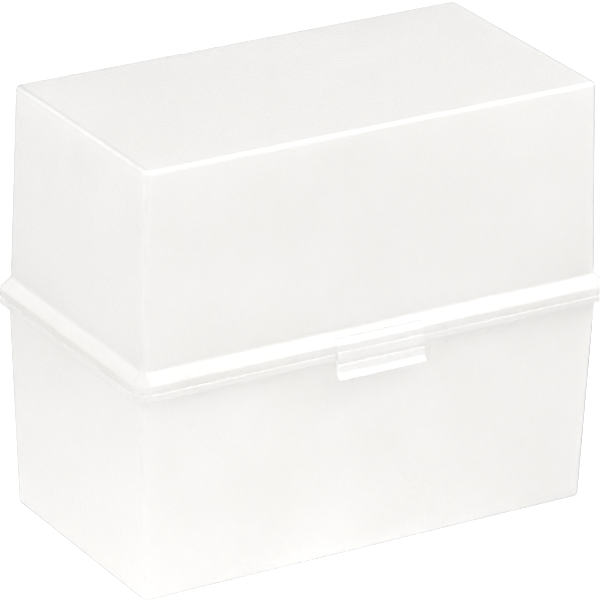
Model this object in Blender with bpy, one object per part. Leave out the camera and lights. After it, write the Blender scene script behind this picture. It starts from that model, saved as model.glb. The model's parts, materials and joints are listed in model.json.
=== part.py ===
"""A card index box for A6 cards standing on their long edge.

Two frosted plastic shells of almost equal depth meet at a flanged rim. The lid turns on two steel pins behind
the rim, and a springy tab in the middle of its front skirt catches under the tray's flange.

Metres, +Z up. The origin is under the middle of the tray, the latch faces -Y and the hinges are at +Y.
"""

import math

import bmesh
import bpy
from mathutils import Matrix, Vector

MM = 0.001

# The closed box
RIM_WIDTH = 171.0 * MM
RIM_DEPTH = 94.4 * MM
BOX_HEIGHT = 142.0 * MM
SEAM_Z = 72.1 * MM
WALL = 1.8 * MM
WALL_CORNER_RADIUS = 2.2 * MM
SHARPEST_CORNER = 0.3 * MM
FLAT_END = 5.0 * MM
GAP = 0.3 * MM

# Tray. Every inset, the lid's too, is measured inwards from the outer edge of the tray's flange.
TRAY_FOOT_INSET = 5.7 * MM
TRAY_RIM_INSET = 3.46 * MM
TRAY_EDGE_ROUND = 1.2 * MM
FLANGE_TOP_Z = SEAM_Z - GAP
FLANGE_THICKNESS = 2.45 * MM
FLANGE_Z = FLANGE_TOP_Z - FLANGE_THICKNESS
LIP_INSET = 3.8 * MM
LIP_TOP_Z = 74.8 * MM

# Lid
SKIRT_INSET = 0.5 * MM
SKIRT_THICKNESS = 1.5 * MM
SHOULDER_Z = 74.3 * MM
LID_FOOT_INSET = 3.9 * MM
LID_FOOT_Z = 77.95 * MM
LID_TOP_INSET = 5.33 * MM
LID_EDGE_ROUND = 1.7 * MM

# Hinges: a lid knuckle between two tray knuckles, with a pin through the three
HINGE_AXIS = Vector((0, RIM_DEPTH / 2 + 2.8 * MM, SEAM_Z - 0.1 * MM))
HINGE_SPREAD = 48.0 * MM
KNUCKLE_RADIUS = 2.3 * MM
LID_KNUCKLE_LENGTH = 12.0 * MM
TRAY_KNUCKLE_LENGTH = 6.0 * MM
KNUCKLE_GAP = 0.4 * MM
PIN_RADIUS = 0.9 * MM
PIN_LENGTH = 25.4 * MM
PIN_CHAMFER = 0.25 * MM
RIB_SETBACK = 0.3 * MM
TRAY_RIB_DROP = 9.0 * MM

# Latch tab. Its root lies in a window of the lid's shoulder and skirt. The plate below stands a little proud of
# the tray's flange, and the finger lip under the crease flares out at the bottom.
TAB_WIDTH = 31.4 * MM
TAB_ROOT_ALONG_SHOULDER = 2.3 * MM
TAB_THICKNESS = 1.1 * MM
TAB_ROOT_PROUD = 0.2 * MM
TAB_PLATE_PROUD = 0.75 * MM
TAB_STEP_Z = 72.0 * MM
TAB_BAND_Z = 69.2 * MM
TAB_CREASE_Z = 68.1 * MM
TAB_CREASE_PROUD = 0.35 * MM
TAB_KNEE_Z = 65.2 * MM
TAB_KNEE_PROUD = 0.75 * MM
TAB_BOTTOM_Z = 62.9 * MM
TAB_LIP_PROUD = 2.2 * MM
TAB_CORNER_RADIUS = 1.5 * MM
CATCH_DEPTH = 1.15 * MM
CATCH_HEIGHT = 1.0 * MM
CATCH_TOP_Z = FLANGE_Z - GAP
NOTCH_SETBACK = 0.55 * MM

# Facets of round stretches
CORNER_STEPS = 5
FILLET_STEPS = 3
KNUCKLE_STEPS = 16
PIN_STEPS = 24

SKIRT_FRONT_Y = SKIRT_INSET - RIM_DEPTH / 2
SHOULDER_RUN = Vector((LID_FOOT_INSET - SKIRT_INSET, LID_FOOT_Z - SHOULDER_Z)).normalized()


def clear_scene():
    for obj in list(bpy.data.objects):
        bpy.data.objects.remove(obj)


# Outlines


def arc(centre, radius, start, end, steps):
    """Points on a circle between two angles in radians, both ends included."""
    angles = [start + (end - start) * i / steps for i in range(steps + 1)]
    return [(centre[0] + radius * math.cos(a), centre[1] + radius * math.sin(a)) for a in angles]


def filleted(corners, steps=FILLET_STEPS):
    """A path through (x, y, radius) corners. A corner with a radius becomes an arc."""
    path = []
    for i, (x, y, radius) in enumerate(corners):
        here = Vector((x, y))
        if radius == 0:
            path.append((x, y))
            continue
        backwards = (Vector(corners[i - 1][:2]) - here).normalized()
        onwards = (Vector(corners[(i + 1) % len(corners)][:2]) - here).normalized()
        half_angle = backwards.angle(onwards) / 2
        centre = here + (backwards + onwards).normalized() * radius / math.sin(half_angle)
        first = here + backwards * radius / math.tan(half_angle) - centre
        last = here + onwards * radius / math.tan(half_angle) - centre
        turn = first.angle_signed(last)
        for step in range(steps + 1):
            path.append(tuple(centre + Matrix.Rotation(-turn * step / steps, 2) @ first))
    return path


def rounded_rectangle(half_width, half_depth, radius):
    """A counter-clockwise outline with a round at each corner."""
    x, y = half_width - radius, half_depth - radius
    points = []
    for turn, centre in enumerate(((x, y), (-x, y), (-x, -y), (x, -y))):
        start = turn * math.pi / 2
        points += arc(centre, radius, start, start + math.pi / 2, CORNER_STEPS)
    return points


# Meshes


def new_object(name, bm, hidden=False):
    mesh = bpy.data.meshes.new(name)
    bm.to_mesh(mesh)
    bm.free()
    obj = bpy.data.objects.new(name, mesh)
    bpy.context.scene.collection.objects.link(obj)
    if hidden:
        obj.hide_render = True
        obj.display_type = "WIRE"
    return obj


def shell(name, path, wall_inset):
    """A closed shell, lofted through one rounded outline for each (inset, z) of the path.

    The path follows the wall's section, and its two ends lie on the two faces of the shell's flat end. Every
    outline is a parallel offset of the drafted wall, whose own inset at a height is wall_inset(z).
    """
    bm = bmesh.new()
    rings = []
    for inset, z in path:
        radius = max(WALL_CORNER_RADIUS + wall_inset(z) - inset, SHARPEST_CORNER)
        outline = rounded_rectangle(RIM_WIDTH / 2 - inset, RIM_DEPTH / 2 - inset, radius)
        rings.append([bm.verts.new((x, y, z)) for x, y in outline])
    count = len(rings[0])
    for lower, upper in zip(rings, rings[1:]):
        for i in range(count):
            j = (i + 1) % count
            bm.faces.new((lower[i], lower[j], upper[j], upper[i]))
    bm.faces.new(reversed(rings[0]))
    bm.faces.new(rings[-1])
    return new_object(name, bm)


def add_prism(bm, outline, low_x, high_x):
    """A solid with the same (y, z) outline from low_x to high_x. The outline is counter-clockwise from +X."""
    low = [bm.verts.new((low_x, y, z)) for y, z in outline]
    high = [bm.verts.new((high_x, y, z)) for y, z in outline]
    for i in range(len(outline)):
        j = (i + 1) % len(outline)
        bm.faces.new((low[i], low[j], high[j], high[i]))
    bm.faces.new(reversed(low))
    bm.faces.new(high)


def boolean(obj, operation, other):
    modifier = obj.modifiers.new(f"{operation.title()} {other.name}", "BOOLEAN")
    modifier.operation = operation
    modifier.solver = "EXACT"
    modifier.object = other


def put_origin(obj, point, parent=None):
    """Moves the origin to a world point and leaves the shape where it is."""
    obj.data.transform(Matrix.Translation(-point))
    obj.parent = parent
    obj.location = point - parent.location if parent else point


def smooth(obj):
    obj.data.shade_smooth()
    obj.data.set_sharp_from_angle(angle=math.radians(35))


# Materials


def principled(name, colour, roughness, metallic, transmission=0.0):
    material = bpy.data.materials.new(name)
    material.use_nodes = True
    shader = material.node_tree.nodes["Principled BSDF"]
    shader.inputs["Base Color"].default_value = (*colour, 1)
    shader.inputs["Roughness"].default_value = roughness
    shader.inputs["Metallic"].default_value = metallic
    shader.inputs["Transmission Weight"].default_value = transmission
    return material


def frosted_plastic(name):
    return principled(name, (0.90, 0.90, 0.88), roughness=0.45, metallic=0, transmission=0.6)


def steel(name):
    return principled(name, (0.60, 0.60, 0.58), roughness=0.28, metallic=1)


# The two shells


def tray_wall_inset(z):
    share = min(z / FLANGE_Z, 1)
    return TRAY_FOOT_INSET + share * (TRAY_RIM_INSET - TRAY_FOOT_INSET)


def lid_wall_inset(z):
    share = max((z - LID_FOOT_Z) / (BOX_HEIGHT - LID_FOOT_Z), 0)
    return LID_FOOT_INSET + share * (LID_TOP_INSET - LID_FOOT_INSET)


def tray_section():
    """From the middle of the underside, up the outside, over flange and lip, and down to the inner floor."""
    return filleted([
        (TRAY_FOOT_INSET + FLAT_END, 0, 0),
        (TRAY_FOOT_INSET, 0, TRAY_EDGE_ROUND),
        (TRAY_RIM_INSET, FLANGE_Z, 0.6 * MM),
        (0, FLANGE_Z, 0.4 * MM),
        (0, FLANGE_TOP_Z, 0.5 * MM),
        (LIP_INSET, FLANGE_TOP_Z, 0.3 * MM),
        (LIP_INSET, LIP_TOP_Z, 0.4 * MM),
        (TRAY_RIM_INSET + WALL, LIP_TOP_Z, 0.4 * MM),
        (TRAY_FOOT_INSET + WALL, WALL, TRAY_EDGE_ROUND),
        (TRAY_FOOT_INSET + WALL + FLAT_END, WALL, 0),
    ])


def lid_section():
    """From the middle of the ceiling, down the inside, around the skirt, and up the outside to the top."""
    slope = SHOULDER_RUN.y / SHOULDER_RUN.x
    inner_inset, inner_drop = Vector((SHOULDER_RUN.y, -SHOULDER_RUN.x)) * WALL
    skirt_inside = SKIRT_INSET + SKIRT_THICKNESS

    def inner_z(inset):
        return SHOULDER_Z + inner_drop + (inset - SKIRT_INSET - inner_inset) * slope

    return filleted([
        (LID_TOP_INSET + WALL + FLAT_END, BOX_HEIGHT - WALL, 0),
        (LID_TOP_INSET + WALL, BOX_HEIGHT - WALL, 0.8 * MM),
        (LID_FOOT_INSET + WALL, inner_z(LID_FOOT_INSET + WALL), 2.0 * MM),
        (skirt_inside, inner_z(skirt_inside), 0.6 * MM),
        (skirt_inside, SEAM_Z, 0.3 * MM),
        (SKIRT_INSET, SEAM_Z, 0.3 * MM),
        (SKIRT_INSET, SHOULDER_Z, 0.8 * MM),
        (LID_FOOT_INSET, LID_FOOT_Z, 1.6 * MM),
        (LID_TOP_INSET, BOX_HEIGHT, LID_EDGE_ROUND),
        (LID_TOP_INSET + FLAT_END, BOX_HEIGHT, 0),
    ])


# Hinges


def tray_knuckle_outline():
    """A barrel on the pin's axis, carried by a rib that runs down the tray's back wall under the flange."""
    y, z = HINGE_AXIS.yz
    rib_top = FLANGE_TOP_Z - RIB_SETBACK
    in_wall = RIM_DEPTH / 2 - TRAY_RIM_INSET - WALL / 2
    rib_meets_barrel = math.pi - math.asin((rib_top - z) / KNUCKLE_RADIUS)
    barrel = arc((y, z), KNUCKLE_RADIUS, math.radians(-60), rib_meets_barrel, KNUCKLE_STEPS)
    return barrel + [(in_wall, rib_top), (in_wall, z - TRAY_RIB_DROP)]


def lid_knuckle_outline():
    """A barrel on the pin's axis, carried by a rib on the lid's skirt and shoulder."""
    y, z = HINGE_AXIS.yz
    rib_bottom = SEAM_Z + RIB_SETBACK
    in_skirt = RIM_DEPTH / 2 - SKIRT_INSET - SKIRT_THICKNESS / 2
    in_shoulder = (RIM_DEPTH / 2 - 3.0 * MM, SHOULDER_Z + 1.9 * MM)
    rib_meets_barrel = math.pi - math.asin((rib_bottom - z) / KNUCKLE_RADIUS)
    barrel = arc((y, z), KNUCKLE_RADIUS, rib_meets_barrel, math.radians(420), KNUCKLE_STEPS)
    return barrel + [in_shoulder, (in_skirt, SHOULDER_Z - 0.6 * MM), (in_skirt, rib_bottom)]


def hinge_sides():
    return (-HINGE_SPREAD, HINGE_SPREAD)


def tray_knuckles():
    bm = bmesh.new()
    inner = LID_KNUCKLE_LENGTH / 2 + KNUCKLE_GAP
    outer = inner + TRAY_KNUCKLE_LENGTH
    for x in hinge_sides():
        add_prism(bm, tray_knuckle_outline(), x - outer, x - inner)
        add_prism(bm, tray_knuckle_outline(), x + inner, x + outer)
    return new_object("tray_knuckles", bm, hidden=True)


def lid_knuckles():
    bm = bmesh.new()
    for x in hinge_sides():
        add_prism(bm, lid_knuckle_outline(), x - LID_KNUCKLE_LENGTH / 2, x + LID_KNUCKLE_LENGTH / 2)
    return new_object("lid_knuckles", bm, hidden=True)


def pin_bores():
    bm = bmesh.new()
    circle = arc(HINGE_AXIS.yz, PIN_RADIUS + GAP, 0, 2 * math.pi, PIN_STEPS)[:-1]
    for x in hinge_sides():
        add_prism(bm, circle, x - PIN_LENGTH, x + PIN_LENGTH)
    return new_object("pin_bores", bm, hidden=True)


def hinge_pin(name, x):
    bm = bmesh.new()
    bmesh.ops.create_cone(
        bm, cap_ends=True, segments=PIN_STEPS, radius1=PIN_RADIUS, radius2=PIN_RADIUS, depth=PIN_LENGTH,
        matrix=Matrix.Rotation(math.pi / 2, 4, "Y"),
    )
    rims = [edge for edge in bm.edges if any(len(face.verts) > 4 for face in edge.link_faces)]
    bmesh.ops.bevel(bm, geom=rims, offset=PIN_CHAMFER, segments=1, affect="EDGES")
    pin = new_object(name, bm)
    pin.location = (x, HINGE_AXIS.y, HINGE_AXIS.z)
    smooth(pin)
    return pin


# Latch


def on_shoulder(along, depth):
    """(y, z) at the front, a distance up the shoulder from its lower edge, and a depth below its surface."""
    inset, rise = SHOULDER_RUN * along + Vector((SHOULDER_RUN.y, -SHOULDER_RUN.x)) * depth
    return (SKIRT_FRONT_Y + inset, SHOULDER_Z + rise)


def out_front(proud, z, radius=0):
    """A corner at the front, a distance proud of the lid's skirt. Negative is behind its outer face."""
    return (SKIRT_FRONT_Y - proud, z, radius)


def tab_outline():
    """The tab's section, down its outer side and up its inner side."""
    back = TAB_PLATE_PROUD - TAB_THICKNESS
    root_back = TAB_ROOT_PROUD - SKIRT_THICKNESS
    root = [
        (*on_shoulder(TAB_ROOT_ALONG_SHOULDER, 0), 0.2 * MM),
        out_front(TAB_ROOT_PROUD, SHOULDER_Z - 0.1 * MM, 0.5 * MM),
        out_front(TAB_ROOT_PROUD, TAB_STEP_Z, 0.1 * MM),
    ]
    plate = [
        out_front(TAB_PLATE_PROUD, TAB_STEP_Z, 0.4 * MM),
        out_front(TAB_PLATE_PROUD, TAB_BAND_Z, 0.25 * MM),
        out_front(TAB_CREASE_PROUD, TAB_CREASE_Z, 0.15 * MM),
    ]
    lip = [
        out_front(TAB_KNEE_PROUD, TAB_CREASE_Z - 0.5 * MM, 0.4 * MM),
        out_front(TAB_KNEE_PROUD, TAB_KNEE_Z, 0.8 * MM),
        out_front(TAB_LIP_PROUD, TAB_BOTTOM_Z + 0.5 * MM, 0.35 * MM),
        out_front(TAB_LIP_PROUD - 0.8 * MM, TAB_BOTTOM_Z, 0.35 * MM),
        out_front(TAB_KNEE_PROUD - TAB_THICKNESS, TAB_KNEE_Z - 0.5 * MM, 0.8 * MM),
    ]
    catch = [
        out_front(back, CATCH_TOP_Z - CATCH_HEIGHT),
        out_front(back - CATCH_DEPTH, CATCH_TOP_Z - 0.5 * MM),
        out_front(back - CATCH_DEPTH, CATCH_TOP_Z),
        out_front(back, CATCH_TOP_Z),
    ]
    root_inside = [
        out_front(back, TAB_STEP_Z - 0.5 * MM),
        out_front(root_back, TAB_STEP_Z + 0.7 * MM),
        out_front(root_back, SHOULDER_Z - 0.9 * MM),
        (*on_shoulder(TAB_ROOT_ALONG_SHOULDER, SKIRT_THICKNESS), 0),
    ]
    return filleted(root + plate + lip + catch + root_inside)


def tab_face():
    """A block whose lower corners are round, which trims the tab's outline as seen from the front."""
    corner = TAB_CORNER_RADIUS
    half = TAB_WIDTH / 2
    top = SHOULDER_Z + 5 * MM
    left = arc((corner - half, TAB_BOTTOM_Z + corner), corner, -math.pi, -math.pi / 2, CORNER_STEPS)
    right = arc((half - corner, TAB_BOTTOM_Z + corner), corner, -math.pi / 2, 0, CORNER_STEPS)
    outline = left + right + [(half, top), (-half, top)]
    bm = bmesh.new()
    near = [bm.verts.new((x, -RIM_DEPTH / 2 - 5 * MM, z)) for x, z in outline]
    face = bm.faces.new(near)
    sweep = bmesh.ops.extrude_face_region(bm, geom=[face])["geom"]
    moved = [item for item in sweep if isinstance(item, bmesh.types.BMVert)]
    bmesh.ops.translate(bm, verts=moved, vec=(0, 12 * MM, 0))
    bmesh.ops.recalc_face_normals(bm, faces=bm.faces)
    return new_object("tab_face", bm, hidden=True)


def latch_tab():
    bm = bmesh.new()
    half = TAB_WIDTH / 2 + 1 * MM
    add_prism(bm, tab_outline(), -half, half)
    tab = new_object("latch_tab", bm)
    boolean(tab, "INTERSECT", tab_face())
    return tab


def tab_window():
    """Cuts the skirt and the lower shoulder away around the tab's root."""
    edge = TAB_ROOT_ALONG_SHOULDER + GAP
    half = TAB_WIDTH / 2 + GAP
    inner = on_shoulder(edge, 3.5 * MM)
    outer = on_shoulder(edge, -3.0 * MM)
    low = SEAM_Z - 2 * MM
    outline = [outer, (outer[0], low), (inner[0], low), inner]
    bm = bmesh.new()
    add_prism(bm, outline, -half, half)
    return new_object("tab_window", bm, hidden=True)


def flange_notch():
    """Cuts the tray's flange back behind the tab's plate and the slant above it."""
    half = TAB_WIDTH / 2 + GAP
    front = -RIM_DEPTH / 2 - 2 * MM
    back = SKIRT_FRONT_Y - TAB_PLATE_PROUD + TAB_THICKNESS + NOTCH_SETBACK
    outline = [(front, FLANGE_Z - 2 * MM), (back, FLANGE_Z - 2 * MM), (back, SEAM_Z), (front, SEAM_Z)]
    bm = bmesh.new()
    add_prism(bm, outline, -half, half)
    return new_object("flange_notch", bm, hidden=True)


# Assembly


def build():
    clear_scene()
    bores = pin_bores()

    tray = shell("base_tray", tray_section(), tray_wall_inset)
    boolean(tray, "UNION", tray_knuckles())
    boolean(tray, "DIFFERENCE", bores)
    boolean(tray, "DIFFERENCE", flange_notch())
    smooth(tray)

    lid = shell("lid", lid_section(), lid_wall_inset)
    boolean(lid, "UNION", lid_knuckles())
    boolean(lid, "DIFFERENCE", bores)
    boolean(lid, "DIFFERENCE", tab_window())
    put_origin(lid, HINGE_AXIS)
    smooth(lid)

    tab = latch_tab()
    put_origin(tab, Vector((0, *on_shoulder(TAB_ROOT_ALONG_SHOULDER - 0.2 * MM, 0.7 * MM))), parent=lid)
    smooth(tab)

    left_x, right_x = hinge_sides()
    pins = [hinge_pin("hinge_pin_left", left_x), hinge_pin("hinge_pin_right", right_x)]

    tray.data.materials.append(frosted_plastic("tray_plastic"))
    lid.data.materials.append(frosted_plastic("lid_plastic"))
    tab.data.materials.append(frosted_plastic("tab_plastic"))
    for pin in pins:
        pin.data.materials.append(steel(pin.name + "_steel"))


build()
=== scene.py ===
"""The looks of a frosted plastic card index box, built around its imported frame.

Every shell is lofted again here with finer rounds than the frame has, at the same size and in the same place.
Metres, +Z up. The latch faces -Y, the hinges are at +Y, and the box stands on z = 0.
"""

import json
import math

import bmesh
import bpy
from mathutils import Matrix, Vector

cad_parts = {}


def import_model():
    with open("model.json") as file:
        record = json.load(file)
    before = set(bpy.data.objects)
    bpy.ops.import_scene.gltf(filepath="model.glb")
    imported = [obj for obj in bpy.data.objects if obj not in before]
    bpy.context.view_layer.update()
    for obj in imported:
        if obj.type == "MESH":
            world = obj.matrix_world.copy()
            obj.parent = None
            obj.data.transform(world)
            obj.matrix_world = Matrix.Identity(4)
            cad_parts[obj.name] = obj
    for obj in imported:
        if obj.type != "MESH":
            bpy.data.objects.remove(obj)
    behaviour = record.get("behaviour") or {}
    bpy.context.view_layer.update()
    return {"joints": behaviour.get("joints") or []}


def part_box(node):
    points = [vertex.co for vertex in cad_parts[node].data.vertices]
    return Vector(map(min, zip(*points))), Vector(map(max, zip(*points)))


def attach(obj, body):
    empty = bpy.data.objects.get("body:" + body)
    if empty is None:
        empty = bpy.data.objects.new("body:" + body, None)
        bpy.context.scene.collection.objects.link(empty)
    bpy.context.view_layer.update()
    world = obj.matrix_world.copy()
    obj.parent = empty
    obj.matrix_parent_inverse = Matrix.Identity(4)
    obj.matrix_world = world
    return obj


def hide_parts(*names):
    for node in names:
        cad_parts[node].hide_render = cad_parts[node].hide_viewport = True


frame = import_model()

MM = 0.001
UP = Vector((0, 0, 1))

# Sizes of the frame
TRAY_LOW, TRAY_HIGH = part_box("base_tray")
LID_LOW, LID_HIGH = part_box("lid")
TAB_LOW, TAB_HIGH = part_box("latch_tab")
PIN_LOW, PIN_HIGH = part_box("hinge_pin_left")
HINGE_AXIS = Vector(next(joint["pos_m"] for joint in frame["joints"] if joint["name"] == "lid_hinge"))
RIM_WIDTH = TRAY_HIGH.x - TRAY_LOW.x
RIM_DEPTH = -2 * TRAY_LOW.y
BOX_HEIGHT = LID_HIGH.z
BOX_MIDDLE = UP * BOX_HEIGHT / 2
SEAM_Z = HINGE_AXIS.z + 0.1 * MM

# Walls
WALL = 1.8 * MM
WALL_CORNER_RADIUS = 2.2 * MM
SHARPEST_CORNER = 0.3 * MM
FLAT_END = 5.0 * MM
GAP = 0.3 * MM

# Tray. Every inset, the lid's too, is measured inwards from the outer edge of the tray's flange.
TRAY_FOOT_INSET = 5.7 * MM
TRAY_RIM_INSET = 3.46 * MM
TRAY_EDGE_ROUND = 1.2 * MM
FLANGE_TOP_Z = SEAM_Z - GAP
FLANGE_THICKNESS = 2.45 * MM
FLANGE_Z = FLANGE_TOP_Z - FLANGE_THICKNESS
FLANGE_ROOT_ROUND = 0.6 * MM
FLANGE_BOTTOM_ROUND = 0.4 * MM
FLANGE_TOP_ROUND = 0.6 * MM
LIP_INSET = 3.8 * MM
LIP_TOP_Z = TRAY_HIGH.z
LIP_ROOT_ROUND = 0.3 * MM
LIP_TOP_ROUND = 0.4 * MM

# Lid. Its skirt comes down almost onto the flange, so that the seam looks shut.
SKIRT_INSET = LID_LOW.x - TRAY_LOW.x
SKIRT_THICKNESS = 1.5 * MM
SKIRT_SEAT = 0.28 * MM
SKIRT_BOTTOM_ROUND = 0.12 * MM
SKIRT_INNER_BOTTOM_ROUND = 0.3 * MM
SKIRT_INNER_TOP_ROUND = 0.6 * MM
SHOULDER_Z = SEAM_Z + 2.2 * MM
SHOULDER_ROUND = 0.8 * MM
LID_FOOT_INSET = 3.9 * MM
LID_FOOT_Z = SHOULDER_Z + 3.65 * MM
LID_FOOT_ROUND = 1.6 * MM
LID_INNER_FOOT_ROUND = 2.0 * MM
LID_TOP_INSET = 5.33 * MM
LID_EDGE_ROUND = 1.7 * MM
LID_CEILING_ROUND = 0.8 * MM

# Hinges
HINGE_SPREAD = -(PIN_LOW.x + PIN_HIGH.x) / 2
KNUCKLE_RADIUS = LID_HIGH.y - HINGE_AXIS.y
LID_KNUCKLE_LENGTH = 12.0 * MM
TRAY_KNUCKLE_LENGTH = 6.0 * MM
KNUCKLE_GAP = 0.4 * MM
PIN_RADIUS = (PIN_HIGH.z - PIN_LOW.z) / 2
PIN_LENGTH = PIN_HIGH.x - PIN_LOW.x
PIN_END_ROUND = 0.25 * MM
PIN_END_STEPS = 5
TRAY_BARREL_START = math.radians(-60)
LID_BARREL_END = math.radians(420)
RIB_SETBACK = 0.3 * MM
TRAY_RIB_DROP = 9.0 * MM
LID_RIB_TOP_INSET = 3.0 * MM
LID_RIB_TOP_RISE = 1.9 * MM
LID_RIB_BEND_DROP = 0.6 * MM

# Latch tab. Its section runs from the root over a step, a plate, a crease and a leg down to the lip.
TAB_WIDTH = TAB_HIGH.x - TAB_LOW.x
TAB_ROOT_ALONG_SHOULDER = 2.3 * MM
TAB_THICKNESS = 1.1 * MM
TAB_ROOT_PROUD = 0.2 * MM
TAB_ROOT_TOP_ROUND = 0.2 * MM
TAB_BEND_DROP = 0.1 * MM
TAB_BEND_ROUND = 0.5 * MM
TAB_PLATE_PROUD = 0.75 * MM
TAB_STEP_Z = SEAM_Z - 0.1 * MM
TAB_STEP_INNER_ROUND = 0.1 * MM
TAB_STEP_OUTER_ROUND = 0.4 * MM
TAB_BAND_Z = SEAM_Z - 2.9 * MM
TAB_BAND_ROUND = 0.25 * MM
TAB_CREASE_Z = SEAM_Z - 4.0 * MM
TAB_CREASE_PROUD = 0.35 * MM
TAB_CREASE_ROUND = 0.15 * MM
TAB_LEG_DROP = 0.5 * MM
TAB_LEG_ROUND = 0.4 * MM
TAB_KNEE_Z = SEAM_Z - 6.9 * MM
TAB_KNEE_PROUD = 0.75 * MM
TAB_KNEE_ROUND = 0.8 * MM
TAB_KNEE_INNER_DROP = 0.5 * MM
TAB_BOTTOM_Z = SEAM_Z - 9.2 * MM
TAB_LIP_PROUD = 2.2 * MM
TAB_LIP_HEIGHT = 0.5 * MM
TAB_LIP_THICKNESS = 0.8 * MM
TAB_LIP_ROUND = 0.35 * MM
TAB_CORNER_RADIUS = 1.5 * MM
TAB_BACK_LOW = 0.5 * MM
TAB_BACK_HIGH = 0.7 * MM
TAB_ROOT_BACK_DROP = 0.9 * MM
CATCH_DEPTH = 1.15 * MM
CATCH_HEIGHT = 1.0 * MM
CATCH_NOSE_HEIGHT = 0.5 * MM
CATCH_TOP_Z = FLANGE_Z - GAP
NOTCH_SETBACK = 0.55 * MM
SLIT = 0.06 * MM
TOOL_MARGIN = 2 * MM
WINDOW_DEPTH = 3.5 * MM
WINDOW_PROUD = 3.0 * MM
TAB_BLOCK_MARGIN = 5 * MM
TAB_BLOCK_DEPTH = 12 * MM

# Facets of round stretches
CORNER_STEPS = 8
FILLET_STEPS = 8
KNUCKLE_STEPS = 32
PIN_STEPS = 48

# Edges that turn by more than the first stay sharp, and corners closer than the second are joined.
SHARP_ANGLE = math.radians(32)
SAME_PLACE = 0.002 * MM

# The skirt's front face, and the direction up the lid's shoulder as (inset, z)
SKIRT_FRONT_Y = SKIRT_INSET - RIM_DEPTH / 2
SHOULDER_RUN = Vector((LID_FOOT_INSET - SKIRT_INSET, LID_FOOT_Z - SHOULDER_Z)).normalized()

# Camera
CAMERA_AZIMUTH = math.radians(-31.06)
CAMERA_ELEVATION = math.radians(23.11)
CAMERA_ROLL = math.radians(0.97)
CAMERA_LENS_MM = 331.6
CAMERA_SENSOR_MM = 36.0
CAMERA_DISTANCE = 1.737
CAMERA_TARGET_HEIGHT = 68.9 * MM
CAMERA_SHIFT_RIGHT = -0.87 * MM

# Plastic
TRAY_TINT = (0.991, 0.986, 0.978)
TRAY_CLOUDY_TINT = (0.983, 0.976, 0.966)
LID_TINT = (0.984, 0.979, 0.971)
LID_CLOUDY_TINT = (0.974, 0.967, 0.957)
# The tab's tints are paler than the lid's. This is painted light, standing in for light from the front that
# falls on the tab.
TAB_PAINTED_LIGHT_TINT = (0.996, 0.993, 0.987)
TAB_CLOUDY_PAINTED_LIGHT_TINT = (0.99, 0.986, 0.979)
# Rubbed edges turn paler. The paleness is partly real wear and partly a painted highlight along the rounded
# edges.
RUBBED_AND_HIGHLIT_TINT = (0.995, 0.993, 0.988)
PLASTIC_IOR = 1.49
PLASTIC_ROUGHNESS = (0.35, 0.45)
PLASTIC_GLOSS = 0.6
PLASTIC_GLOSS_ROUGHNESS = 0.2

# Shares of the plastic: clearness lets light through the body, and milk scatters it on the way.
SHELL_CLEARNESS = 0.7
SHELL_MILK = 0.25
# The tab's larger milk share lightens it too. This is painted light of the same kind.
TAB_CLEARNESS = 0.57
TAB_MILK = 0.35
MILK_VARIATION = 0.04

# Grain, clouds and rubbed edges, their paleness partly a painted highlight. Scales are features per metre.
# RUB_NOISE, MID_NOISE, WIDE_NOISE and EDGE_TURNS each hold where an effect starts and where it is full.
GRAIN_SCALE = 1100
GRAIN_SHADE = (0.988, 1.0)
GRAIN_BUMP = 1.0
GRAIN_DEPTH = 0.2 * MM
CLOUD_SCALE = 45
RUB_SCALE = 260
RUB_STRETCH = (0.3, 0.3, 1)
RUB_NOISE = (0.35, 0.6)
RUB_SHARE = (0.3, 1)
RUB_POLISH = -0.04
MID_NOISE = (0.35, 0.65)
WIDE_NOISE = (0.3, 0.7)
EDGE_TURNS = (math.radians(6), math.radians(10))

# Painted shade: a darker outline of edges seen side-on, where light would have the longest way through the
# plastic. OUTLINE_FACING holds where it starts and where it is full.
OUTLINE_SHADE_TINT = (0.64, 0.64, 0.67)
OUTLINE_FACING = (0.4, 0.7)
OUTLINE_MILK = 0.8
RIM_CLEAR = 3.0 * MM

# Steel
STEEL_TINT = (0.63, 0.63, 0.61)
STEEL_DULL_TINT = (0.52, 0.52, 0.50)
STEEL_WORN_TINT = (0.75, 0.75, 0.74)
STEEL_ROUGHNESS = (0.2, 0.38)
STEEL_LINE_SCALE = 4000
STEEL_LINE_STRETCH = (0.02, 1, 1)
STEEL_DULLING_SCALE = 350
STEEL_BUMP = 0.3
STEEL_LINE_DEPTH = 0.02 * MM

# Light. The lamps' numbers are brightnesses. The table glows most around TABLE_LAMP.
LAMP_DISTANCE = 1.2
KEY_SIZE = 0.6
RIM_SIZE = 0.35
FILL_SIZE = 0.9
KEY = 5.8
TOP = 1.4
LEFT = 1.7
RIM = 4.9
FRONT = 2.0
RIGHT = 1.2
SKY = 0.65
SKY_SEEN = 1.02
TABLE_NEAR = 1.18
TABLE_FAR = 0.75
TABLE_SEEN = 1.02
TABLE_LAMP = (-0.05, -0.045, 0)
POOL_INNER = 0.02
POOL_OUTER = 0.2
TABLE_HALF_WIDTH = 12.0
TABLE_DROP = 0.2 * MM
TABLE_TINT = (0.2, 0.2, 0.2, 1)
TABLE_ROUGHNESS = 0.9


# Outlines


def arc(centre, radius, start, end, steps):
    """Points on a circle between two angles in radians, both ends included."""
    angles = [start + (end - start) * i / steps for i in range(steps + 1)]
    return [(centre[0] + radius * math.cos(a), centre[1] + radius * math.sin(a)) for a in angles]


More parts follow.
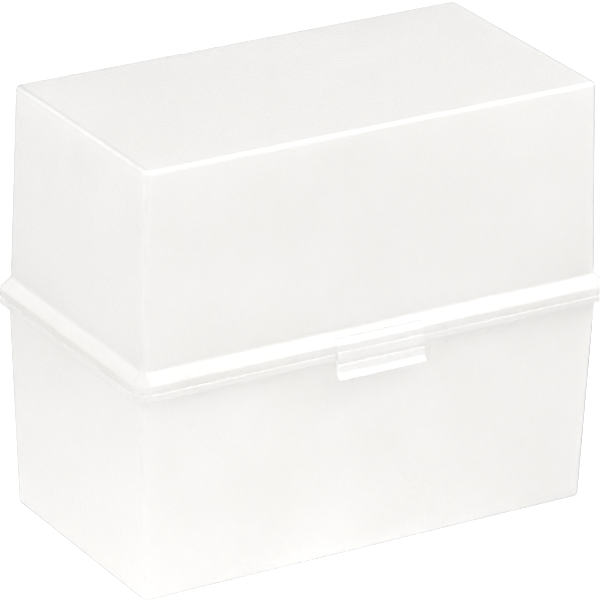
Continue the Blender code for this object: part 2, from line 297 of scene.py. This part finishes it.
def filleted(corners):
    """A path through (x, y, radius) corners. A corner with a radius becomes an arc."""
    path = []
    for i, (x, y, radius) in enumerate(corners):
        here = Vector((x, y))
        if radius == 0:
            path.append((x, y))
            continue
        backwards = (Vector(corners[i - 1][:2]) - here).normalized()
        onwards = (Vector(corners[(i + 1) % len(corners)][:2]) - here).normalized()
        half_angle = backwards.angle(onwards) / 2
        centre = here + (backwards + onwards).normalized() * radius / math.sin(half_angle)
        first = here + backwards * radius / math.tan(half_angle) - centre
        last = here + onwards * radius / math.tan(half_angle) - centre
        turn = first.angle_signed(last)
        for step in range(FILLET_STEPS + 1):
            path.append(tuple(centre + Matrix.Rotation(-turn * step / FILLET_STEPS, 2) @ first))
    return path


def rounded_rectangle(half_width, half_depth, radius):
    """A counter-clockwise outline with a round at each corner."""
    x, y = half_width - radius, half_depth - radius
    points = []
    for turn, centre in enumerate(((x, y), (-x, y), (-x, -y), (x, -y))):
        start = turn * math.pi / 2
        points += arc(centre, radius, start, start + math.pi / 2, CORNER_STEPS)
    return points


# Meshes


def new_object(name, bm):
    mesh = bpy.data.meshes.new(name)
    bm.to_mesh(mesh)
    bm.free()
    obj = bpy.data.objects.new(name, mesh)
    bpy.context.scene.collection.objects.link(obj)
    return obj


def add_loft(bm, outlines):
    """A closed solid through several outlines, each counter-clockwise as seen from the last one's side."""
    rings = [[bm.verts.new(point) for point in outline] for outline in outlines]
    count = len(rings[0])
    for near, far in zip(rings, rings[1:]):
        for i in range(count):
            j = (i + 1) % count
            bm.faces.new((near[i], near[j], far[j], far[i]))
    bm.faces.new(reversed(rings[0]))
    bm.faces.new(rings[-1])


def shell(name, path, wall_inset):
    """A closed shell, lofted through one rounded outline for each (inset, z) of the path."""
    outlines = []
    for inset, z in path:
        radius = max(WALL_CORNER_RADIUS + wall_inset(z) - inset, SHARPEST_CORNER)
        outline = rounded_rectangle(RIM_WIDTH / 2 - inset, RIM_DEPTH / 2 - inset, radius)
        outlines.append([(x, y, z) for x, y in outline])
    bm = bmesh.new()
    add_loft(bm, outlines)
    return new_object(name, bm)


def add_prism(bm, outline, low_x, high_x):
    """A solid with the same (y, z) outline from low_x to high_x. The outline is counter-clockwise from +X."""
    add_loft(bm, [[(x, y, z) for y, z in outline] for x in (low_x, high_x)])


def shape_with(obj, operation, tool):
    """Cuts obj with the tool, joins them or keeps what they share, and drops the tool."""
    modifier = obj.modifiers.new(operation, "BOOLEAN")
    modifier.operation = operation
    modifier.solver = "EXACT"
    modifier.object = tool
    evaluated = obj.evaluated_get(bpy.context.evaluated_depsgraph_get())
    mesh = bpy.data.meshes.new_from_object(evaluated)
    obj.modifiers.clear()
    obj.data = mesh
    bpy.data.objects.remove(tool)


def clean(obj):
    """Joins the almost equal corners that Boolean cuts leave behind."""
    bm = bmesh.new()
    bm.from_mesh(obj.data)
    bmesh.ops.remove_doubles(bm, verts=bm.verts, dist=SAME_PLACE)
    bmesh.ops.dissolve_degenerate(bm, edges=bm.edges, dist=SAME_PLACE)
    bm.to_mesh(obj.data)
    bm.free()


def mark_outer_edges(obj):
    """Stores 1 at corners on rounded or sharp outer edges and 0 at flat ones, for the paler rubbed edges,
    partly a painted highlight, and for the painted outline shade.
    """
    bm = bmesh.new()
    bm.from_mesh(obj.data)
    turns = []
    for vert in bm.verts:
        turns.append(max((edge.calc_face_angle_signed(0) for edge in vert.link_edges), default=0))
    bm.free()
    wear_and_highlight = obj.data.attributes.new("outer_edge", "FLOAT", "POINT")
    for item, turn in zip(wear_and_highlight.data, turns):
        item.value = min(max((turn - EDGE_TURNS[0]) / (EDGE_TURNS[1] - EDGE_TURNS[0]), 0), 1)


def smooth(obj):
    """Smooth rounds beside truly flat faces."""
    obj.data.shade_smooth()
    obj.data.set_sharp_from_angle(angle=SHARP_ANGLE)
    normals = obj.modifiers.new("Flat faces stay flat", "WEIGHTED_NORMAL")
    normals.keep_sharp = True


# The two shells


def tray_wall_inset(z):
    share = min(z / FLANGE_Z, 1)
    return TRAY_FOOT_INSET + share * (TRAY_RIM_INSET - TRAY_FOOT_INSET)


def lid_wall_inset(z):
    share = max((z - LID_FOOT_Z) / (BOX_HEIGHT - LID_FOOT_Z), 0)
    return LID_FOOT_INSET + share * (LID_TOP_INSET - LID_FOOT_INSET)


def tray_section():
    """From the middle of the underside, up the outside, over flange and lip, and down to the inner floor."""
    return filleted([
        (TRAY_FOOT_INSET + FLAT_END, 0, 0),
        (TRAY_FOOT_INSET, 0, TRAY_EDGE_ROUND),
        (TRAY_RIM_INSET, FLANGE_Z, FLANGE_ROOT_ROUND),
        (0, FLANGE_Z, FLANGE_BOTTOM_ROUND),
        (0, FLANGE_TOP_Z, FLANGE_TOP_ROUND),
        (LIP_INSET, FLANGE_TOP_Z, LIP_ROOT_ROUND),
        (LIP_INSET, LIP_TOP_Z, LIP_TOP_ROUND),
        (TRAY_RIM_INSET + WALL, LIP_TOP_Z, LIP_TOP_ROUND),
        (TRAY_FOOT_INSET + WALL, WALL, TRAY_EDGE_ROUND),
        (TRAY_FOOT_INSET + WALL + FLAT_END, WALL, 0),
    ])


def lid_section():
    """From the middle of the ceiling, down the inside, around the skirt, and up the outside to the top."""
    slope = SHOULDER_RUN.y / SHOULDER_RUN.x
    inner_inset, inner_drop = Vector((SHOULDER_RUN.y, -SHOULDER_RUN.x)) * WALL
    skirt_inside = SKIRT_INSET + SKIRT_THICKNESS

    def inner_z(inset):
        return SHOULDER_Z + inner_drop + (inset - SKIRT_INSET - inner_inset) * slope

    return filleted([
        (LID_TOP_INSET + WALL + FLAT_END, BOX_HEIGHT - WALL, 0),
        (LID_TOP_INSET + WALL, BOX_HEIGHT - WALL, LID_CEILING_ROUND),
        (LID_FOOT_INSET + WALL, inner_z(LID_FOOT_INSET + WALL), LID_INNER_FOOT_ROUND),
        (skirt_inside, inner_z(skirt_inside), SKIRT_INNER_TOP_ROUND),
        (skirt_inside, SEAM_Z - SKIRT_SEAT, SKIRT_INNER_BOTTOM_ROUND),
        (SKIRT_INSET, SEAM_Z - SKIRT_SEAT, SKIRT_BOTTOM_ROUND),
        (SKIRT_INSET, SHOULDER_Z, SHOULDER_ROUND),
        (LID_FOOT_INSET, LID_FOOT_Z, LID_FOOT_ROUND),
        (LID_TOP_INSET, BOX_HEIGHT, LID_EDGE_ROUND),
        (LID_TOP_INSET + FLAT_END, BOX_HEIGHT, 0),
    ])


# Hinges


def tray_knuckle_outline():
    """A barrel on the pin's axis, carried by a rib that runs down the tray's back wall under the flange."""
    y, z = HINGE_AXIS.yz
    rib_top = FLANGE_TOP_Z - RIB_SETBACK
    in_wall = RIM_DEPTH / 2 - TRAY_RIM_INSET - WALL / 2
    rib_meets_barrel = math.pi - math.asin((rib_top - z) / KNUCKLE_RADIUS)
    barrel = arc((y, z), KNUCKLE_RADIUS, TRAY_BARREL_START, rib_meets_barrel, KNUCKLE_STEPS)
    return barrel + [(in_wall, rib_top), (in_wall, z - TRAY_RIB_DROP)]


def lid_knuckle_outline():
    """A barrel on the pin's axis, carried by a rib on the lid's skirt and shoulder."""
    y, z = HINGE_AXIS.yz
    rib_bottom = SEAM_Z + RIB_SETBACK
    in_skirt = RIM_DEPTH / 2 - SKIRT_INSET - SKIRT_THICKNESS / 2
    in_shoulder = (RIM_DEPTH / 2 - LID_RIB_TOP_INSET, SHOULDER_Z + LID_RIB_TOP_RISE)
    rib_meets_barrel = math.pi - math.asin((rib_bottom - z) / KNUCKLE_RADIUS)
    barrel = arc((y, z), KNUCKLE_RADIUS, rib_meets_barrel, LID_BARREL_END, KNUCKLE_STEPS)
    return barrel + [in_shoulder, (in_skirt, SHOULDER_Z - LID_RIB_BEND_DROP), (in_skirt, rib_bottom)]


def hinge_sides():
    return (-HINGE_SPREAD, HINGE_SPREAD)


def tray_knuckles():
    bm = bmesh.new()
    inner = LID_KNUCKLE_LENGTH / 2 + KNUCKLE_GAP
    outer = inner + TRAY_KNUCKLE_LENGTH
    for x in hinge_sides():
        add_prism(bm, tray_knuckle_outline(), x - outer, x - inner)
        add_prism(bm, tray_knuckle_outline(), x + inner, x + outer)
    return new_object("tray_knuckles", bm)


def lid_knuckles():
    bm = bmesh.new()
    for x in hinge_sides():
        add_prism(bm, lid_knuckle_outline(), x - LID_KNUCKLE_LENGTH / 2, x + LID_KNUCKLE_LENGTH / 2)
    return new_object("lid_knuckles", bm)


def pin_bores():
    bm = bmesh.new()
    circle = arc(HINGE_AXIS.yz, PIN_RADIUS + GAP, 0, 2 * math.pi, PIN_STEPS)[:-1]
    for x in hinge_sides():
        add_prism(bm, circle, x - PIN_LENGTH, x + PIN_LENGTH)
    return new_object("pin_bores", bm)


def hinge_pin(name, x):
    """A turned pin with round edges at both ends."""
    along_centre = PIN_LENGTH / 2 - PIN_END_ROUND
    off_centre = PIN_RADIUS - PIN_END_ROUND
    profile = arc((-along_centre, off_centre), PIN_END_ROUND, math.pi, math.pi / 2, PIN_END_STEPS)
    profile += arc((along_centre, off_centre), PIN_END_ROUND, math.pi / 2, 0, PIN_END_STEPS)
    outlines = []
    for along, off in profile:
        circle = arc(HINGE_AXIS.yz, off, 0, 2 * math.pi, PIN_STEPS)[:-1]
        outlines.append([(x + along, y, z) for y, z in circle])
    bm = bmesh.new()
    add_loft(bm, outlines)
    return new_object(name, bm)


# Latch


def on_shoulder(along, depth):
    """(y, z) at the front, a distance up the shoulder from its lower edge, and a depth below its surface."""
    inset, rise = SHOULDER_RUN * along + Vector((SHOULDER_RUN.y, -SHOULDER_RUN.x)) * depth
    return (SKIRT_FRONT_Y + inset, SHOULDER_Z + rise)


def out_front(proud, z, radius=0):
    """A corner at the front, a distance proud of the lid's skirt. Negative is behind its outer face."""
    return (SKIRT_FRONT_Y - proud, z, radius)


def tab_outline():
    """The tab's section, down its outer side and up its inner side."""
    back = TAB_PLATE_PROUD - TAB_THICKNESS
    root_back = TAB_ROOT_PROUD - SKIRT_THICKNESS
    root = [
        (*on_shoulder(TAB_ROOT_ALONG_SHOULDER, 0), TAB_ROOT_TOP_ROUND),
        out_front(TAB_ROOT_PROUD, SHOULDER_Z - TAB_BEND_DROP, TAB_BEND_ROUND),
        out_front(TAB_ROOT_PROUD, TAB_STEP_Z, TAB_STEP_INNER_ROUND),
    ]
    plate = [
        out_front(TAB_PLATE_PROUD, TAB_STEP_Z, TAB_STEP_OUTER_ROUND),
        out_front(TAB_PLATE_PROUD, TAB_BAND_Z, TAB_BAND_ROUND),
        out_front(TAB_CREASE_PROUD, TAB_CREASE_Z, TAB_CREASE_ROUND),
    ]
    lip = [
        out_front(TAB_KNEE_PROUD, TAB_CREASE_Z - TAB_LEG_DROP, TAB_LEG_ROUND),
        out_front(TAB_KNEE_PROUD, TAB_KNEE_Z, TAB_KNEE_ROUND),
        out_front(TAB_LIP_PROUD, TAB_BOTTOM_Z + TAB_LIP_HEIGHT, TAB_LIP_ROUND),
        out_front(TAB_LIP_PROUD - TAB_LIP_THICKNESS, TAB_BOTTOM_Z, TAB_LIP_ROUND),
        out_front(TAB_KNEE_PROUD - TAB_THICKNESS, TAB_KNEE_Z - TAB_KNEE_INNER_DROP, TAB_KNEE_ROUND),
    ]
    catch = [
        out_front(back, CATCH_TOP_Z - CATCH_HEIGHT),
        out_front(back - CATCH_DEPTH, CATCH_TOP_Z - CATCH_NOSE_HEIGHT),
        out_front(back - CATCH_DEPTH, CATCH_TOP_Z),
        out_front(back, CATCH_TOP_Z),
    ]
    root_inside = [
        out_front(back, TAB_STEP_Z - TAB_BACK_LOW),
        out_front(root_back, TAB_STEP_Z + TAB_BACK_HIGH),
        out_front(root_back, SHOULDER_Z - TAB_ROOT_BACK_DROP),
        (*on_shoulder(TAB_ROOT_ALONG_SHOULDER, SKIRT_THICKNESS), 0),
    ]
    return filleted(root + plate + lip + catch + root_inside)


def tab_face():
    """A block whose lower corners are round, which trims the tab's outline as seen from the front."""
    corner = TAB_CORNER_RADIUS
    half = TAB_WIDTH / 2
    top = SHOULDER_Z + TAB_BLOCK_MARGIN
    left = arc((corner - half, TAB_BOTTOM_Z + corner), corner, -math.pi, -math.pi / 2, CORNER_STEPS)
    right = arc((half - corner, TAB_BOTTOM_Z + corner), corner, -math.pi / 2, 0, CORNER_STEPS)
    outline = left + right + [(half, top), (-half, top)]
    front_y = -RIM_DEPTH / 2 - TAB_BLOCK_MARGIN
    bm = bmesh.new()
    add_loft(bm, [[(x, y, z) for x, z in outline] for y in (front_y + TAB_BLOCK_DEPTH, front_y)])
    return new_object("tab_face", bm)


def tab_window():
    """Cuts the skirt and the lower shoulder away around the tab's root."""
    edge = TAB_ROOT_ALONG_SHOULDER + SLIT
    half = TAB_WIDTH / 2 + SLIT
    inner = on_shoulder(edge, WINDOW_DEPTH)
    outer = on_shoulder(edge, -WINDOW_PROUD)
    low = SEAM_Z - TOOL_MARGIN
    bm = bmesh.new()
    add_prism(bm, [outer, (outer[0], low), (inner[0], low), inner], -half, half)
    return new_object("tab_window", bm)


def flange_notch():
    """Cuts the tray's flange back behind the tab's plate."""
    half = TAB_WIDTH / 2 + SLIT
    front = -RIM_DEPTH / 2 - TOOL_MARGIN
    back = SKIRT_FRONT_Y - TAB_PLATE_PROUD + TAB_THICKNESS + NOTCH_SETBACK
    low = FLANGE_Z - TOOL_MARGIN
    bm = bmesh.new()
    add_prism(bm, [(front, low), (back, low), (back, SEAM_Z), (front, SEAM_Z)], -half, half)
    return new_object("flange_notch", bm)


# Pieces


def tray_piece():
    tray = shell("tray_shell", tray_section(), tray_wall_inset)
    shape_with(tray, "UNION", tray_knuckles())
    shape_with(tray, "DIFFERENCE", pin_bores())
    shape_with(tray, "DIFFERENCE", flange_notch())
    return tray


def lid_piece():
    lid = shell("lid_shell", lid_section(), lid_wall_inset)
    shape_with(lid, "UNION", lid_knuckles())
    shape_with(lid, "DIFFERENCE", pin_bores())
    shape_with(lid, "DIFFERENCE", tab_window())
    return lid


def tab_piece():
    bm = bmesh.new()
    half = (TAB_WIDTH + TOOL_MARGIN) / 2
    add_prism(bm, tab_outline(), -half, half)
    tab = new_object("latch_tab_moulding", bm)
    shape_with(tab, "INTERSECT", tab_face())
    return tab


def add_piece(piece, node, body, material):
    clean(piece)
    mark_outer_edges(piece)
    smooth(piece)
    piece.data.materials.clear()
    piece.data.materials.append(material)
    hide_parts(node)
    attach(piece, body)


# Materials


def node_tree(name):
    material = bpy.data.materials.new(name)
    material.use_nodes = True
    tree = material.node_tree
    return material, tree, tree.nodes["Principled BSDF"]


def noise(tree, scale, detail, stretch=(1, 1, 1)):
    """Noise fixed to the piece, in bumps about 1 / scale metres across."""
    where = tree.nodes.new("ShaderNodeTexCoord")
    mapping = tree.nodes.new("ShaderNodeMapping")
    mapping.inputs["Scale"].default_value = stretch
    texture = tree.nodes.new("ShaderNodeTexNoise")
    texture.inputs["Scale"].default_value = scale
    texture.inputs["Detail"].default_value = detail
    tree.links.new(where.outputs["Object"], mapping.inputs["Vector"])
    tree.links.new(mapping.outputs["Vector"], texture.inputs["Vector"])
    return texture.outputs["Fac"]


def ramp(tree, value, low, high, to_low, to_high):
    """The value's stretch from low to high, mapped to another stretch and held at its ends."""
    node = tree.nodes.new("ShaderNodeMapRange")
    node.inputs["From Min"].default_value = low
    node.inputs["From Max"].default_value = high
    node.inputs["To Min"].default_value = to_low
    node.inputs["To Max"].default_value = to_high
    tree.links.new(value, node.inputs["Value"])
    return node.outputs["Result"]


def maths(tree, operation, first, second):
    node = tree.nodes.new("ShaderNodeMath")
    node.operation = operation
    for socket, value in zip(node.inputs, (first, second)):
        if isinstance(value, (int, float)):
            socket.default_value = value
        else:
            tree.links.new(value, socket)
    return node.outputs["Value"]


def blend_colours(tree, share, first, second):
    node = tree.nodes.new("ShaderNodeMix")
    node.data_type = "RGBA"
    tree.links.new(share, node.inputs["Factor"])
    for socket, value in zip((node.inputs["A"], node.inputs["B"]), (first, second)):
        if isinstance(value, tuple):
            socket.default_value = (*value, 1)
        else:
            tree.links.new(value, socket)
    return node.outputs["Result"]


def bump(tree, height, strength, distance):
    node = tree.nodes.new("ShaderNodeBump")
    node.inputs["Strength"].default_value = strength
    node.inputs["Distance"].default_value = distance
    tree.links.new(height, node.inputs["Height"])
    return node.outputs["Normal"]


def shaded(tree, colour, amount):
    """The colour times an amount."""
    node = tree.nodes.new("ShaderNodeVectorMath")
    node.operation = "SCALE"
    tree.links.new(colour, node.inputs[0])
    tree.links.new(amount, node.inputs["Scale"])
    return node.outputs["Vector"]


def painted_edge_shade(tree):
    """1 where a rounded edge turns away from the viewer, where light has the longest way through the plastic.
    This is the mask of a painted shade.

    Rims and tab are left out, because their edges are too fine for it.
    """
    view = tree.nodes.new("ShaderNodeLayerWeight")
    view.inputs["Blend"].default_value = 0.5
    edge_shade = ramp(tree, view.outputs["Facing"], *OUTLINE_FACING, 0, 1)
    place = tree.nodes.new("ShaderNodeTexCoord")
    axes = tree.nodes.new("ShaderNodeSeparateXYZ")
    tree.links.new(place.outputs["Object"], axes.inputs["Vector"])
    below = ramp(tree, axes.outputs["Z"], TAB_BOTTOM_Z - RIM_CLEAR, TAB_BOTTOM_Z, 1, 0)
    above = ramp(tree, axes.outputs["Z"], LID_FOOT_Z, LID_FOOT_Z + RIM_CLEAR, 0, 1)
    off_rims = maths(tree, "ADD", below, above)
    return maths(tree, "MULTIPLY", maths(tree, "MULTIPLY", edge_shade, outer_edges(tree)), off_rims)


def outer_edges(tree):
    """1 along outer edges and 0 on flat faces, as mark_outer_edges stored it."""
    node = tree.nodes.new("ShaderNodeAttribute")
    node.attribute_name = "outer_edge"
    return node.outputs["Fac"]


def frosted_plastic(name, tint, cloudy_tint, milk_share, clearness):
    """Moulded translucent plastic with fine grain, faint clouds, edges rubbed smoother and paler, the
    paleness partly a painted highlight, and a painted shade on edges seen side-on.
    """
    material, tree, shader = node_tree(name)
    grain = noise(tree, GRAIN_SCALE, detail=2)
    clouds = noise(tree, CLOUD_SCALE, detail=3)
    rubs = noise(tree, RUB_SCALE, detail=4, stretch=RUB_STRETCH)
    wear_and_highlight = maths(tree, "MULTIPLY", outer_edges(tree), ramp(tree, rubs, *RUB_NOISE, *RUB_SHARE))
    edge_shade = painted_edge_shade(tree)
    colour = blend_colours(tree, ramp(tree, clouds, *MID_NOISE, 0, 1), tint, cloudy_tint)
    # Rubbed edges paler: partly real wear, partly a painted highlight.
    colour = blend_colours(tree, wear_and_highlight, colour, RUBBED_AND_HIGHLIT_TINT)
    colour = shaded(tree, colour, ramp(tree, grain, *MID_NOISE, *GRAIN_SHADE))
    # Painted shade on edges seen side-on.
    colour = blend_colours(tree, edge_shade, colour, OUTLINE_SHADE_TINT)
    grainy = ramp(tree, grain, *WIDE_NOISE, *PLASTIC_ROUGHNESS)
    roughness = maths(tree, "ADD", grainy, ramp(tree, wear_and_highlight, 0, 1, 0, RUB_POLISH))
    grained = bump(tree, grain, GRAIN_BUMP, GRAIN_DEPTH)
    tree.links.new(colour, shader.inputs["Base Color"])
    tree.links.new(roughness, shader.inputs["Roughness"])
    tree.links.new(grained, shader.inputs["Normal"])
    tree.links.new(grained, shader.inputs["Coat Normal"])
    shader.inputs["IOR"].default_value = PLASTIC_IOR
    shader.inputs["Transmission Weight"].default_value = clearness
    shader.inputs["Coat Weight"].default_value = PLASTIC_GLOSS
    shader.inputs["Coat Roughness"].default_value = PLASTIC_GLOSS_ROUGHNESS
    cloudy = ramp(tree, clouds, *MID_NOISE, milk_share - MILK_VARIATION, milk_share + MILK_VARIATION)
    speckled = ramp(tree, grain, *WIDE_NOISE, -MILK_VARIATION, MILK_VARIATION)
    outlined = ramp(tree, edge_shade, 0, 1, 0, OUTLINE_MILK)
    milkiness = maths(tree, "MAXIMUM", maths(tree, "ADD", cloudy, speckled), outlined)
    add_milk(tree, shader, colour, milkiness)
    return material


def add_milk(tree, shader, colour, share):
    """Puts a share of translucent scatter over the shader."""
    milk = tree.nodes.new("ShaderNodeBsdfTranslucent")
    mix = tree.nodes.new("ShaderNodeMixShader")
    tree.links.new(colour, milk.inputs["Color"])
    tree.links.new(share, mix.inputs["Fac"])
    tree.links.new(shader.outputs["BSDF"], mix.inputs[1])
    tree.links.new(milk.outputs["BSDF"], mix.inputs[2])
    tree.links.new(mix.outputs["Shader"], tree.nodes["Material Output"].inputs["Surface"])


def steel(name):
    """Drawn wire: fine lines along the pin, a little dulling and brighter ends."""
    material, tree, shader = node_tree(name)
    lines = noise(tree, STEEL_LINE_SCALE, detail=3, stretch=STEEL_LINE_STRETCH)
    dulling = noise(tree, STEEL_DULLING_SCALE, detail=3)
    colour = blend_colours(tree, ramp(tree, dulling, *MID_NOISE, 0, 1), STEEL_TINT, STEEL_DULL_TINT)
    colour = blend_colours(tree, outer_edges(tree), colour, STEEL_WORN_TINT)
    tree.links.new(colour, shader.inputs["Base Color"])
    tree.links.new(ramp(tree, lines, *WIDE_NOISE, *STEEL_ROUGHNESS), shader.inputs["Roughness"])
    tree.links.new(bump(tree, lines, STEEL_BUMP, STEEL_LINE_DEPTH), shader.inputs["Normal"])
    shader.inputs["Metallic"].default_value = 1
    return material


# Stage


def floor():
    """A white table that gives light itself. It lies a little under the box, so the two faces don't touch."""
    bm = bmesh.new()
    half = TABLE_HALF_WIDTH
    corners = ((-half, -half), (half, -half), (half, half), (-half, half))
    bm.faces.new([bm.verts.new((x, y, 0)) for x, y in corners])
    plane = new_object("floor", bm)
    material, tree, shader = node_tree("floor_white")
    shader.inputs["Base Color"].default_value = TABLE_TINT
    shader.inputs["Roughness"].default_value = TABLE_ROUGHNESS
    shader.inputs["Specular IOR Level"].default_value = 0.0
    shader.inputs["Emission Color"].default_value = (1, 1, 1, 1)
    path = tree.nodes.new("ShaderNodeLightPath")
    glow = tree.nodes.new("ShaderNodeMix")
    glow.inputs["B"].default_value = TABLE_SEEN
    tree.links.new(path.outputs["Is Camera Ray"], glow.inputs["Factor"])
    tree.links.new(table_glow(tree), glow.inputs["A"])
    tree.links.new(glow.outputs["Result"], shader.inputs["Emission Strength"])
    plane.data.materials.append(material)
    plane.location.z = -TABLE_DROP


def table_glow(tree):
    """The table's own light, which falls off around its brightest place."""
    where = tree.nodes.new("ShaderNodeTexCoord")
    offset = tree.nodes.new("ShaderNodeVectorMath")
    offset.operation = "SUBTRACT"
    offset.inputs[1].default_value = TABLE_LAMP
    length = tree.nodes.new("ShaderNodeVectorMath")
    length.operation = "LENGTH"
    fall = tree.nodes.new("ShaderNodeMapRange")
    fall.interpolation_type = "SMOOTHSTEP"
    fall.inputs["From Min"].default_value = POOL_INNER
    fall.inputs["From Max"].default_value = POOL_OUTER
    fall.inputs["To Min"].default_value = TABLE_NEAR
    fall.inputs["To Max"].default_value = TABLE_FAR
    tree.links.new(where.outputs["Object"], offset.inputs[0])
    tree.links.new(offset.outputs["Vector"], length.inputs[0])
    tree.links.new(length.outputs["Value"], fall.inputs["Value"])
    return fall.outputs["Result"]


def world():
    """An even white sky, seen by the camera as a plain white ground."""
    sky = bpy.data.worlds.new("studio")
    bpy.context.scene.world = sky
    sky.use_nodes = True
    tree = sky.node_tree
    background = tree.nodes["Background"]
    background.inputs["Color"].default_value = (1, 1, 1, 1)
    path = tree.nodes.new("ShaderNodeLightPath")
    seen = tree.nodes.new("ShaderNodeMapRange")
    seen.inputs["To Min"].default_value = SKY
    seen.inputs["To Max"].default_value = SKY_SEEN
    tree.links.new(path.outputs["Is Camera Ray"], seen.inputs["Value"])
    tree.links.new(seen.outputs["Result"], background.inputs["Strength"])


def around(direction):
    """A place at the lamps' distance from the middle of the box."""
    return BOX_MIDDLE + Vector(direction).normalized() * LAMP_DISTANCE


def mirrored_place(point, normal):
    """Where a lamp has to stand for the camera to see it mirrored at a point of a face."""
    back, right, up, place = camera_axes()
    view = (point - place).normalized()
    return point + (view - 2 * view.dot(normal) * normal) * LAMP_DISTANCE


def softbox(name, place, size, radiance):
    """A square area lamp that faces the box, with the same brightness from corner to corner."""
    lamp = bpy.data.lights.new(name, "AREA")
    lamp.shape = "SQUARE"
    lamp.size = size
    lamp.energy = radiance * math.pi * size ** 2
    obj = bpy.data.objects.new(name, lamp)
    bpy.context.scene.collection.objects.link(obj)
    obj.location = place
    obj.rotation_euler = (place - BOX_MIDDLE).to_track_quat("Z", "Y").to_euler()


def lamps():
    """Two lamps mirrored in the lid's shoulder, for the white flares on it, and four that fill in."""
    halfway = SHOULDER_RUN * (LID_FOOT_INSET - SKIRT_INSET) / SHOULDER_RUN.x / 2
    inset, z = SKIRT_INSET + halfway.x, SHOULDER_Z + halfway.y
    front_shoulder = Vector((0, inset - RIM_DEPTH / 2, z))
    front_normal = Vector((0, -SHOULDER_RUN.y, SHOULDER_RUN.x))
    left_shoulder_far_end = Vector((inset - RIM_WIDTH / 2, RIM_DEPTH / 2, z))
    left_normal = Vector((-SHOULDER_RUN.y, 0, SHOULDER_RUN.x))
    softbox("key", mirrored_place(front_shoulder, front_normal), KEY_SIZE, KEY)
    softbox("rim", mirrored_place(left_shoulder_far_end, left_normal), RIM_SIZE, RIM)
    softbox("top", around((0, 0, 1)), FILL_SIZE, TOP)
    softbox("left", around((-1, 0, 0.5)), FILL_SIZE, LEFT)
    softbox("front", around((-0.5, -0.8, 0.5)), FILL_SIZE, FRONT)
    softbox("right", around((1, 0, 0.5)), FILL_SIZE, RIGHT)


def camera_axes():
    """The camera's backward, right and up directions, and its place."""
    azimuth, elevation, roll = CAMERA_AZIMUTH, CAMERA_ELEVATION, CAMERA_ROLL
    back = Vector((
        math.sin(azimuth) * math.cos(elevation),
        -math.cos(azimuth) * math.cos(elevation),
        math.sin(elevation),
    ))
    level_right = Vector((math.cos(azimuth), math.sin(azimuth), 0))
    level_up = back.cross(level_right)
    right = level_right * math.cos(roll) + level_up * math.sin(roll)
    up = level_up * math.cos(roll) - level_right * math.sin(roll)
    place = level_right * CAMERA_SHIFT_RIGHT + UP * CAMERA_TARGET_HEIGHT + back * CAMERA_DISTANCE
    return back, right, up, place


def camera():
    back, right, up, place = camera_axes()
    data = bpy.data.cameras.new("camera")
    data.lens = CAMERA_LENS_MM
    data.sensor_width = CAMERA_SENSOR_MM
    data.clip_start = 0.01
    data.clip_end = 100
    obj = bpy.data.objects.new("camera", data)
    bpy.context.scene.collection.objects.link(obj)
    axes = Matrix((right, up, back)).transposed().to_4x4()
    obj.matrix_world = Matrix.Translation(place) @ axes
    bpy.context.scene.camera = obj


def main():
    """Sets the scene up. Light crosses many walls of clear plastic, so it is allowed many bounces."""
    bpy.context.scene.view_settings.view_transform = "Standard"
    cycles = bpy.context.scene.cycles
    cycles.max_bounces = 32
    cycles.transmission_bounces = 32
    cycles.glossy_bounces = 16
    cycles.diffuse_bounces = 8
    tray_plastic = frosted_plastic("frosted_tray", TRAY_TINT, TRAY_CLOUDY_TINT, SHELL_MILK, SHELL_CLEARNESS)
    lid_plastic = frosted_plastic("frosted_lid", LID_TINT, LID_CLOUDY_TINT, SHELL_MILK, SHELL_CLEARNESS)
    # The tab's paler plastic is painted light from the front.
    painted_lighter_tab_plastic = frosted_plastic("frosted_tab_painted_lighter", TAB_PAINTED_LIGHT_TINT, TAB_CLOUDY_PAINTED_LIGHT_TINT, TAB_MILK, TAB_CLEARNESS)
    add_piece(tray_piece(), "base_tray", "tray", tray_plastic)
    add_piece(lid_piece(), "lid", "lid", lid_plastic)
    add_piece(tab_piece(), "latch_tab", "latch", painted_lighter_tab_plastic)
    metal = steel("pin_steel")
    left_x, right_x = hinge_sides()
    add_piece(hinge_pin("left_pin", left_x), "hinge_pin_left", "tray", metal)
    add_piece(hinge_pin("right_pin", right_x), "hinge_pin_right", "tray", metal)
    floor()
    world()
    lamps()
    camera()


main()
